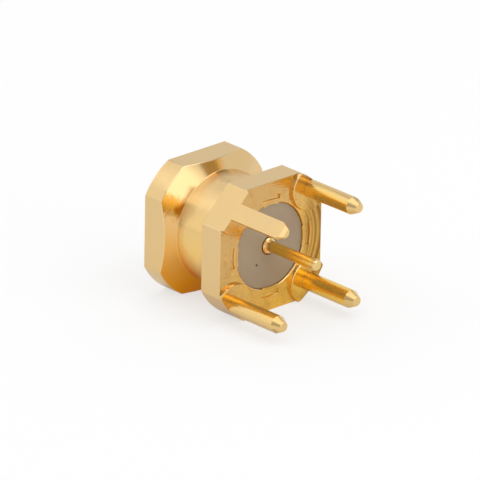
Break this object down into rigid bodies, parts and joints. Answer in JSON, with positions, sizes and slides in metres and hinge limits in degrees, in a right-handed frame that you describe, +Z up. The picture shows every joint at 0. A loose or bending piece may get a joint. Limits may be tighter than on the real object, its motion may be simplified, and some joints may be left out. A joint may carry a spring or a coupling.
{
  "type": "board-mount coaxial socket connector",
  "caption": "Board-mount coaxial socket with a square turned flange, a round neck, solder legs on stand-off pads and a centre contact staked in a plastic bead.",
  "frame": {"origin": "on the connector's axis, in the plane where the stand-off pads meet the board", "axes": "+X along the connector's axis towards the solder legs, +Z up as it lies on its flats, with the key flat at the upper corner on the -Y side"},
  "size_m": [0.0093, 0.007, 0.007],
  "materials": {
    "shell_gold": "pale gold plate over turned and milled brass",
    "insulator_plastic": "matt grey-tan machined plastic",
    "contact_gold": "gold plate over a turned pin"
  },
  "bodies": {
    "root": {"shell": "shell_gold", "insulator": "insulator_plastic", "centre_contact": "contact_gold"}
  },
  "joints": []
}
